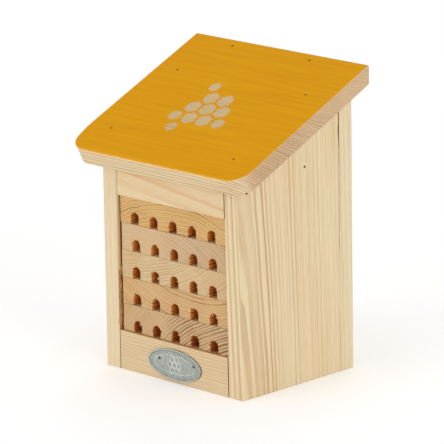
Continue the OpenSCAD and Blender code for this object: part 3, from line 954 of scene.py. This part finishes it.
def looseFibres(tree, given, rims, place):
    fibre = moved(tree, spike(tree, **fibreShape), Translation=rootedBy["fibre"])
    seed = plus(tree, given["Seed"], 50.0)
    loose = less(tree, chance(tree, 0.0, 1.0, seed), given["Splinter Share"])
    nearFront = plus(tree, given["Front"], mouthMargins["splinters"])
    loose = times(tree, loose, less(tree, axisOf(tree, place, "Y"), nearFront))
    inward = step(tree, "InputNamedAttribute", {"Name": "inward"}, data_type="FLOAT_VECTOR")
    wild = chance(tree, *mouthChances["splinterLean"], seed)
    lean = turnedTo(tree, vectorCalc(tree, "ADD", inward, wild))
    luck = calc(tree, "POWER", chance(tree, 0.0, 1.0, plus(tree, seed, 7.0)), 2.0)
    reach = times(tree, ramp(tree, luck, 0.0, 1.0, 0.25, 1.0), given["Splinter Length"])
    return repeated(tree, rims, fibre, Selection=loose, Rotation=lean, Scale=reach)


def tunnelWalls(tree, given, place):  # 1 on the faces inside the tunnels
    sideways = calc(tree, "ABSOLUTE", minus(tree, axisOf(tree, place, "X"), given["X Middle"]))
    edge = minus(tree, times(tree, given["Width"], 0.5), mouthMargins["sides"])
    inside = less(tree, sideways, edge)
    height = axisOf(tree, place, "Z")
    above = less(tree, plus(tree, given["Bottom"], mouthMargins["foot"]), height)
    top = plus(tree, given["Bottom"], given["Tunnel Height"])
    below = less(tree, height, plus(tree, top, mouthMargins["crown"]))
    facing = calc(tree, "ABSOLUTE", axisOf(tree, step(tree, "InputNormal"), "Y"))
    walls = less(tree, facing, wallFacing)
    return times(tree, times(tree, inside, above), times(tree, below, walls))


def buildMouthTree():
    # torn spots and loose fibres around the tunnel mouths, then a darker finish inside the tunnels, with
    # painted shade deeper in
    sockets = {"Int": ("Tunnel Count", "Seed", "Tongue Seed"), "Material": ("Wood", "Tunnel Wood"),
               "Float": tunnelSizes + ("Chip Share", "Chip Size", "Splinter Share", "Splinter Length",
                                       "Tongue Share", "Tongue Length")}
    tree, given = newTree("tunnelMouths", sockets)
    place = step(tree, "InputPosition")
    rims = mouthRims(tree, given, place)
    worn = cutAway(tree, given["Geometry"], tornChips(tree, given, rims), True)
    worn = coated(tree, worn, given["Wood"])
    worn = coated(tree, worn, given["Tunnel Wood"], Selection=tunnelWalls(tree, given, place))
    loose = joined(tree, [looseFibres(tree, given, rims, place), tornTongues(tree, given)])
    loose = coated(tree, loose, given["Wood"])
    addNode(tree, "NodeGroupOutput", {0: joined(tree, [worn, loose])})
    return tree


blockTree = buildBlockTree()
mouthTree = buildMouthTree()


def dressBlock(number):
    node = "nest_block_%d" % number
    low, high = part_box(node)
    look = blockLooks[node]
    wood = pineMaterial(node + "_pine", look)
    change = lowestTunnelLook if number == nestBlocks["blocks"] else {}
    inside = pineMaterial(node + "_tunnel_pine", {**look, **tunnelLook, **change})
    values = {**nestBlocks, "X Middle": (low[0] + high[0]) / 2, "Front": low[1], "Bottom": low[2],
              "Width": high[0] - low[0], "Depth": high[1] - low[1], "Height": high[2] - low[2],
              "Seed": number, "Tongue Seed": tongueSeeds[number], "Wood": wood, "Tunnel Wood": inside}
    made = meshObject(node + "_wood", bmesh.new())
    runTree(made, blockTree, values)
    addModifier(made, "easedEdges", "BEVEL", limit_method="ANGLE", angle_limit=nestBlocks["sharp"],
                width=nestBlocks["edgeRound"], segments=nestBlocks["edgeSteps"])
    runTree(made, mouthTree, values)
    settle(made)
    return seat(made, "block_%d" % number, "block_pine", node)


for blockNumber in range(1, nestBlocks["blocks"] + 1):
    block = dressBlock(blockNumber)
    print("nest block", blockNumber, "made,", len(block.data.polygons), "faces")


# roof paint

honeycomb = {**barePatch, "Rows": 7, "Columns": 8, "Pitch": 14.5 * mm, "Cell": 7.3 * mm, "Keep": 0.86,
             "Seed": 4, "chanceShare": 0.6, "cutDepth": 4 * mm,
             "shrink": (0.25, 0.85, 1.0, 0.62)}  # from and to in shares of the spread, and the sizes there


def buildHoneycombTree():
    # hexagonal openings in the paint, thick in the middle of the patch and fewer and smaller towards its rim
    sockets = {"Int": ("Rows", "Columns", "Seed"), "Vector": ("Origin", "Tilt"), "Material": ("Paint",),
               "Float": ("Pitch", "Cell", "Spread", "Keep", "Across", "Up Slope")}
    tree, given = newTree("paintHoneycomb", sockets)
    rowGap = times(tree, given["Pitch"], math.sqrt(0.75))
    wide = times(tree, minus(tree, given["Columns"], 1.0), given["Pitch"])
    tall = times(tree, minus(tree, given["Rows"], 1.0), rowGap)
    grid = step(tree, "MeshGrid", {"Size X": wide, "Size Y": tall, "Vertices X": given["Columns"],
                                   "Vertices Y": given["Rows"]})
    row = calc(tree, "FLOORED_MODULO", step(tree, "InputIndex"), given["Rows"])  # vertices run up the columns
    odd = calc(tree, "FLOORED_MODULO", row, 2.0)
    shift = times(tree, odd, times(tree, given["Pitch"], 0.5))
    grid = step(tree, "SetPosition", {"Geometry": grid, "Offset": along(tree, x=shift)})
    distance = vectorCalc(tree, "LENGTH", step(tree, "InputPosition"))
    away = calc(tree, "DIVIDE", distance, given["Spread"])
    luck = times(tree, chance(tree, 0.0, 1.0, given["Seed"]), honeycomb["chanceShare"])
    points = step(tree, "MeshToPoints", {"Mesh": grid})
    dropped = calc(tree, "GREATER_THAN", plus(tree, away, luck), given["Keep"])
    points = step(tree, "DeleteGeometry", {"Geometry": points, "Selection": dropped}, domain="POINT")
    prism = step(tree, "MeshCylinder", {"Vertices": 6, "Radius": given["Cell"],
                                        "Depth": honeycomb["cutDepth"]})
    prism = moved(tree, prism, Rotation=cornerUp)
    shrink = ramp(tree, away, *honeycomb["shrink"])
    cells = repeated(tree, points, prism, Scale=along(tree, shrink, shrink, 1.0))
    cells = moved(tree, cells, Translation=along(tree, given["Across"], given["Up Slope"]))
    cells = moved(tree, cells, Translation=given["Origin"], Rotation=given["Tilt"])
    return closeTree(tree, cutAway(tree, given["Geometry"], cells), given["Paint"])


def paintOutline(half, length):  # points on the board's face, front corners rounded, edge a little unsteady
    inset, radius = roof["edgeRound"], roof["cornerRadius"] - roof["edgeRound"]
    side, front, rear = half - inset, inset, length - inset
    steps = roof["cornerSteps"]
    turns = [math.radians(90 * part / steps) for part in range(steps + 1)]
    right, left = Vector((side - radius, front + radius)), Vector((-side + radius, front + radius))
    path = [Vector((side, rear))]
    path += [right + radius * Vector((math.cos(turn), -math.sin(turn))) for turn in turns]
    path += [left + radius * Vector((-math.sin(turn), -math.cos(turn))) for turn in turns]
    path += [Vector((-side, rear))]
    points = []
    for first, second in zip(path, path[1:] + path[:1]):
        pieces = max(1, int((second - first).length / roof["paintStep"]))
        points += [first.lerp(second, piece / pieces) for piece in range(pieces)]
    middle = Vector((0, length / 2))
    wandered = []
    for point in points:
        spot = Vector((point.x, point.y, 0)) * roof["wandersPerMetre"]
        shift = noise.fractal(spot, 0.7, 2.1, 3) * roof["paintWander"]
        wandered.append(point + (middle - point).normalized() * abs(shift))
    return wandered


def layFilm():  # the coat as a thin sheet on the board's face
    origin, upSlope, out, half, length = roofFrame()
    base = origin - out * roof["paintSunk"]
    work = bmesh.new()
    verts = [work.verts.new(base + Vector((point.x, 0, 0)) + upSlope * point.y)
             for point in paintOutline(half, length)]
    face = work.faces.new(verts)
    face.normal_update()
    if face.normal.dot(out) < 0:
        face.normal_flip()
    lifted = bmesh.ops.extrude_face_region(work, geom=[face])
    for item in lifted["geom"]:
        if isinstance(item, bmesh.types.BMVert):
            item.co += out * (roof["paintFilm"] + roof["paintSunk"])
    bmesh.ops.recalc_face_normals(work, faces=work.faces)
    return meshObject("roof_paint", work)


def makePunch():  # what the nails leave out of the coat
    work = bmesh.new()
    for node in ("roof_nails_left", "roof_nails_right", "roof_nails_back"):
        for head, _, _ in nailPlaces(node):
            bmesh.ops.create_cone(work, cap_ends=True, segments=roof["punchSides"], depth=roof["punchDepth"],
                                  radius1=roof["nailHole"], radius2=roof["nailHole"],
                                  matrix=Matrix.Translation(head))
    return meshObject("nailPunch", work)


def paintRoof():
    paint, punch = layFilm(), makePunch()
    addModifier(paint, "nailHoles", "BOOLEAN", object=punch, operation="DIFFERENCE", solver="EXACT")
    values = {**honeycomb, "Origin": roofFrame()[0], "Tilt": (math.radians(roof["slope"]), 0, 0),
              "Paint": paintMaterial("yellow_paint", roofPaint)}
    runTree(paint, buildHoneycombTree(), values)
    settle(paint)
    cutAskew(paint)
    bpy.data.meshes.remove(punch.data)  # its object goes with it
    seat(paint, caseBody, "painted_roof")


paintRoof()
print("roof painted")


# nails

nails = {"Head Height": 0.9 * mm, "Shank Radius": 0.6 * mm, "Dome Share": 0.3}
plateNails = {"Head Height": 0.7 * mm, "Shank Radius": 0.6 * mm, "Dome Share": 0.92}
nailShape = {"sides": 28, "domeRings": 12, "domeWidth": 0.97, "shankSides": 16, "spinSeed": 0}
steelLook = {"light": (100, 74, 40), "dark": (66, 48, 24), "spots": (66, 42, 26), "spotting": 0.8,
             "roughness": (0.45, 0.65), "relief": (0.4, 0.05 * mm), "cloudScale": 0.25, "speckScale": 1.6}
paintedSteelLook = {**steelLook, "light": (150, 98, 10), "dark": (112, 70, 6)}  # under the roof's paint, darkened as painted shade in their sunk holes
plateSteelLook = {**steelLook, "light": (120, 122, 114), "dark": (86, 88, 82), "spots": (66, 60, 50),
                  "spotting": 0.6, "roughness": (0.4, 0.6)}


def buildNailTree():
    sockets = {"Float": ("Head Radius", "Head Height", "Shank Radius", "Dome Share", "Shank Length"),
               "Vector": ("Facing",), "Material": ("Steel",)}
    tree, given = newTree("nails", sockets)
    domeHeight = times(tree, given["Head Height"], given["Dome Share"])
    rimHeight = minus(tree, given["Head Height"], domeHeight)
    rim = step(tree, "MeshCylinder", {"Vertices": nailShape["sides"], "Radius": given["Head Radius"],
                                      "Depth": rimHeight})
    middle = minus(tree, times(tree, rimHeight, -0.5), domeHeight)
    rim = moved(tree, rim, Translation=along(tree, z=middle))
    dome = step(tree, "MeshUVSphere", {"Segments": nailShape["sides"], "Rings": nailShape["domeRings"],
                                       "Radius": 1.0})
    wide = times(tree, given["Head Radius"], nailShape["domeWidth"])
    dome = moved(tree, dome, Scale=along(tree, wide, wide, domeHeight),
                 Translation=along(tree, z=times(tree, domeHeight, -1.0)))
    dome = step(tree, "SetShadeSmooth", {"Geometry": dome})
    shank = step(tree, "MeshCylinder", {"Vertices": nailShape["shankSides"], "Radius": given["Shank Radius"],
                                        "Depth": given["Shank Length"]})
    middle = minus(tree, times(tree, given["Shank Length"], -0.5), given["Head Height"])
    shank = moved(tree, shank, Translation=along(tree, z=middle))
    nail = joined(tree, [rim, dome, shank])
    turn = turnedTo(tree, given["Facing"])
    spin = chance(tree, (0, 0, 0), (0, 0, 6.28), nailShape["spinSeed"])
    spin = addNode(tree, "FunctionNodeEulerToRotation", {0: spin}).outputs[0]
    turn = addNode(tree, "FunctionNodeRotateRotation", {0: turn, 1: spin}, rotation_space="LOCAL").outputs[0]
    return closeTree(tree, repeated(tree, given["Geometry"], nail, Rotation=turn), given["Steel"])


nailTree = buildNailTree()
nailSteels = {"plate": metalMaterial("plate_nail_steel", plateSteelLook),
              "roof": metalMaterial("painted_nail_steel", paintedSteelLook)}
plainSteel = metalMaterial("nail_steel", steelLook)


def driveNails(node):
    sizes = plateNails if node == "plate_nails" else nails
    places = nailPlaces(node)
    mesh = bpy.data.meshes.new(node + "_steel")
    mesh.from_pydata([head for head, _, _ in places], [], [])
    made = newObject(node + "_steel", mesh)
    _, headRadius, length = places[0]
    values = {**sizes, "Head Radius": headRadius, "Shank Length": length - sizes["Head Height"],
              "Facing": nailRows[node], "Steel": nailSteels.get(node.split("_")[0], plainSteel)}
    runTree(made, nailTree, values)
    settle(made)
    if node == "side_nails_right":
        drawIn(made)
    seat(made, caseBody, "nail_steel", node)


for nailNode in nailRows:
    driveNails(nailNode)
print("nails driven:", len(nailRows), "rows")


# oval plate

plate = {"rim": 1.2 * mm, "rimRise": 0.4 * mm, "round": 0.18 * mm, "turns": 96,
         # patina and painted shade along the plate's edge and in the groove; rubbed wear and a painted
         # highlight on the rim's crest
         "grooveDark": (0.9, 0.6, 0.2, 0, 0, 0.2, 0.5, 0.8, 0.6, 0),
         "rimBright": (0, 0, 0, 0.3, 0.3, 0, 0, 0, 0, 0)}
plateMarks = {"Bead Count": 46, "Bead Radius": 0.5 * mm, "Ring Width": 41 * mm, "Ring Height": 13.6 * mm,
              "Cell": 2.5 * mm, "Ridge": 0.28 * mm, "Grit Spacing": 0.55 * mm, "Grit Size": 0.16 * mm,
              "Seed": 3, "beadHeight": 0.7, "cellGap": 1.06, "gritHeight": 0.6,
              "gritGround": (0.93, 0.84, 1.0), "gritDensity": 4.0e6}
# the worn colour is rubbed wear and a painted highlight on the raised marks
zincLook = {"light": (168, 175, 170), "dark": (151, 158, 153), "patinaAndShade": (92, 93, 86),
            "worn": (236, 238, 233), "roughness": (0.34, 0.52), "relief": (0.4, 0.05 * mm),
            "cloudScale": 0.22, "speckScale": 1.8}


def buildMarksTree():
    # a ring of beads and a small comb of ridges raised on the plate, with a fine pressed grit between
    sockets = {"Int": ("Bead Count", "Seed"), "Vector": ("Place",), "Material": ("Zinc",),
               "Float": ("Bead Radius", "Ring Width", "Ring Height", "Cell", "Ridge", "Grit Spacing",
                         "Grit Size")}
    tree, given = newTree("plateMarks", sockets)
    circle = step(tree, "CurvePrimitiveCircle", {"Radius": 0.5, "Resolution": 128})
    ringSize = along(tree, given["Ring Width"], given["Ring Height"], 1.0)
    oval = moved(tree, circle, Scale=ringSize)
    beadPoints = step(tree, "CurveToPoints", {"Curve": oval, "Count": given["Bead Count"]}, mode="COUNT")
    bead = step(tree, "MeshIcoSphere", {"Radius": 1.0, "Subdivisions": 3})
    bead = step(tree, "SetShadeSmooth", {"Geometry": bead})
    wide = given["Bead Radius"]
    beadSize = along(tree, wide, wide, times(tree, wide, plateMarks["beadHeight"]))
    beads = repeated(tree, beadPoints, bead, Scale=beadSize)

    hexagon = step(tree, "CurvePrimitiveCircle", {"Radius": given["Cell"], "Resolution": 6})
    profile = step(tree, "CurvePrimitiveCircle", {"Radius": given["Ridge"], "Resolution": 10})
    ridge = step(tree, "CurveToMesh", {"Curve": hexagon, "Profile Curve": profile})
    ridge = step(tree, "SetShadeSmooth", {"Geometry": ridge})
    ridge = moved(tree, ridge, Rotation=cornerUp)
    apart = times(tree, given["Cell"], math.sqrt(3) * plateMarks["cellGap"])
    ring = step(tree, "MeshCircle", {"Vertices": 6, "Radius": apart})
    heart = step(tree, "MeshLine", {"Count": 1})
    cells = repeated(tree, joined(tree, [ring, heart]), ridge)

    patch = moved(tree, oval, Scale=plateMarks["gritGround"])
    ground = step(tree, "FillCurve", {"Curve": patch}, mode="TRIANGLES")
    sowing = {"Mesh": ground, "Distance Min": given["Grit Spacing"], "Density Max": plateMarks["gritDensity"],
              "Seed": given["Seed"]}
    gritPoints = step(tree, "DistributePointsOnFaces", sowing, distribute_method="POISSON")
    speck = step(tree, "MeshIcoSphere", {"Radius": 1.0, "Subdivisions": 1})
    size = times(tree, chance(tree, 0.5, 1.0, given["Seed"]), given["Grit Size"])
    gritSize = along(tree, size, size, times(tree, size, plateMarks["gritHeight"]))
    grit = repeated(tree, gritPoints, speck, Scale=gritSize)
    marks = joined(tree, [beads, cells, grit])
    marks = step(tree, "StoreNamedAttribute", {"Geometry": marks, "Name": "raised", "Value": 1.0},
                 data_type="FLOAT", domain="POINT")
    marks = moved(tree, marks, Rotation=upright, Translation=given["Place"])
    return closeTree(tree, joined(tree, [given["Geometry"], marks]), given["Zinc"])


def ovalRing(work, middle, semiX, semiZ, y):
    ring = []
    for turn in range(plate["turns"]):
        angle = 2 * math.pi * turn / plate["turns"]
        x, z = middle.x + semiX * math.cos(angle), middle.z + semiZ * math.sin(angle)
        ring.append(work.verts.new((x, y, z)))
    return ring


def pressPlate():
    low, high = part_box("oval_plate")
    middle = (Vector(low) + Vector(high)) / 2
    semiX, semiZ = (high[0] - low[0]) / 2, (high[2] - low[2]) / 2
    crest, ground = low[1], low[1] + plate["rimRise"]
    soft, rim = plate["round"], plate["rim"]
    steps = [  # inset from the oval, and y: back edge, over the rim and down to the ground
        (0.0, high[1]), (0.0, crest + soft), (soft * 0.3, crest + soft * 0.3), (soft, crest),
        (rim - soft, crest), (rim - soft * 0.3, crest + soft * 0.3), (rim, crest + soft),
        (rim + soft * 0.4, ground - soft * 0.3), (rim + soft * 1.6, ground), (rim + soft * 4.5, ground)]
    work = bmesh.new()
    patinaAndShade = work.verts.layers.float.new("patinaAndShade")
    raised = work.verts.layers.float.new("raised")
    rings = [ovalRing(work, middle, semiX - inset, semiZ - inset, y) for inset, y in steps]
    for ring, dark, bright in zip(rings, plate["grooveDark"], plate["rimBright"]):
        for vert in ring:
            vert[patinaAndShade], vert[raised] = dark, bright
    for first, second in zip(rings, rings[1:]):
        for turn in range(plate["turns"]):
            after = (turn + 1) % plate["turns"]
            work.faces.new((first[turn], first[after], second[after], second[turn]))
    work.faces.new(rings[0])
    work.faces.new(rings[-1])
    bmesh.ops.recalc_face_normals(work, faces=work.faces)
    for face in work.faces:
        face.smooth = len(face.verts) == 4
    made = meshObject("oval_plate_zinc", work)
    runTree(made, buildMarksTree(), {**plateMarks, "Place": (middle.x, ground, middle.z),
                                     "Zinc": metalMaterial("dull_zinc", zincLook)})
    settle(made)
    seat(made, caseBody, "plate_zinc", "oval_plate")


pressPlate()
print("oval plate pressed")


# camera, light and floor

view = {"aim": (-0.0031, 0.0066, 0.1092), "azimuth": 44.93, "elevation": 14.46, "roll": 0.903,
        "distance": 2.93, "focalPixels": 4026, "framePixels": 444, "sensor": 36.0,
        "clip": (0.05, 50)}


def makeCamera():
    data = bpy.data.cameras.new("photoView")
    data.sensor_width = view["sensor"]
    data.lens = view["sensor"] * view["focalPixels"] / view["framePixels"]
    data.clip_start, data.clip_end = view["clip"]
    camera = newObject("photoView", data)
    turn, rise, roll = (math.radians(view[key]) for key in ("azimuth", "elevation", "roll"))
    back = Vector((math.sin(turn) * math.cos(rise), -math.cos(turn) * math.cos(rise), math.sin(rise)))
    right = Vector((math.cos(turn), math.sin(turn), 0))
    up = back.cross(right)
    rolledRight = right * math.cos(roll) - up * math.sin(roll)
    rolledUp = right * math.sin(roll) + up * math.cos(roll)
    axes = Matrix((rolledRight, rolledUp, back)).transposed().to_4x4()
    camera.matrix_world = Matrix.Translation(Vector(view["aim"]) + back * view["distance"]) @ axes
    bpy.context.scene.camera = camera


lamps = [
    {"name": "frontSoftbox", "place": (-0.5, -2.2, 0.5), "size": 1.8, "power": 18.5},
    {"name": "sideSoftbox", "place": (2.2, -0.3, 0.55), "size": 1.8, "power": 17.5},
    {"name": "topSoftbox", "place": (0.1, -0.5, 2.4), "size": 1.6, "power": 7.0},
    {"name": "rearSoftbox", "place": (-1.5, 2.0, 0.9), "size": 1.8, "power": 15.0},
]
room = {"sky": 0.6, "background": 1.0, "floorSize": 12.0, "floor": (250, 250, 250), "floorLift": 0.17,
        "fadeFrom": 0.35, "fadeTo": 1.3}


def makeLight():
    aim = Vector(view["aim"])
    for lamp in lamps:
        data = bpy.data.lights.new(lamp["name"], "AREA")
        data.size, data.energy = lamp["size"], lamp["power"]
        made = newObject(lamp["name"], data)
        place = Vector(lamp["place"])
        towardsAim = (aim - place).to_track_quat("-Z", "Y").to_matrix().to_4x4()
        made.matrix_world = Matrix.Translation(place) @ towardsAim
    world = bpy.data.worlds.new("whiteRoom")
    bpy.context.scene.world = world
    world.use_nodes = True
    tree = world.node_tree
    seen = seenDirectly(tree)
    strength = plus(tree, room["sky"], times(tree, seen, room["background"] - room["sky"]))
    background = tree.nodes["Background"]
    background.inputs["Color"].default_value = (1, 1, 1, 1)
    tree.links.new(strength, background.inputs["Strength"])


def seenDirectly(tree):  # 1 for what the camera, a mirror or glass shows
    path = addNode(tree, "ShaderNodeLightPath").outputs
    either = calc(tree, "MAXIMUM", path["Is Camera Ray"], path["Is Glossy Ray"])
    return calc(tree, "MAXIMUM", either, path["Is Transmission Ray"])


def makeFloor():
    half = room["floorSize"] / 2
    mesh = bpy.data.meshes.new("floor")
    corners = [(-half, -half, 0), (half, -half, 0), (half, half, 0), (-half, half, 0)]
    mesh.from_pydata(corners, [], [(0, 1, 2, 3)])
    floor = newObject("floor", mesh)
    material = bpy.data.materials.new("paleFloor")
    material.use_nodes = True
    tree = material.node_tree
    tree.nodes.clear()
    matte = addNode(tree, "ShaderNodeBsdfDiffuse", {"Color": tint(*room["floor"])})
    seen = seenDirectly(tree)
    lift = addNode(tree, "ShaderNodeEmission", {"Strength": times(tree, seen, room["floorLift"])})
    near = addNode(tree, "ShaderNodeAddShader", {0: matte.outputs[0], 1: lift.outputs[0]})
    white = addNode(tree, "ShaderNodeEmission", {"Strength": room["background"]})
    where = addNode(tree, "ShaderNodeTexCoord").outputs["Object"]
    away = ramp(tree, vectorCalc(tree, "LENGTH", where), room["fadeFrom"], room["fadeTo"])
    far = times(tree, seen, away)  # white far from the object
    faded = addNode(tree, "ShaderNodeMixShader", {0: far, 1: near.outputs[0], 2: white.outputs[0]})
    addNode(tree, "ShaderNodeOutputMaterial", {"Surface": faded.outputs[0]})
    mesh.materials.append(material)


makeCamera()
makeLight()
makeFloor()
bpy.context.scene.view_settings.view_transform = "Standard"
print("camera, light and floor made")
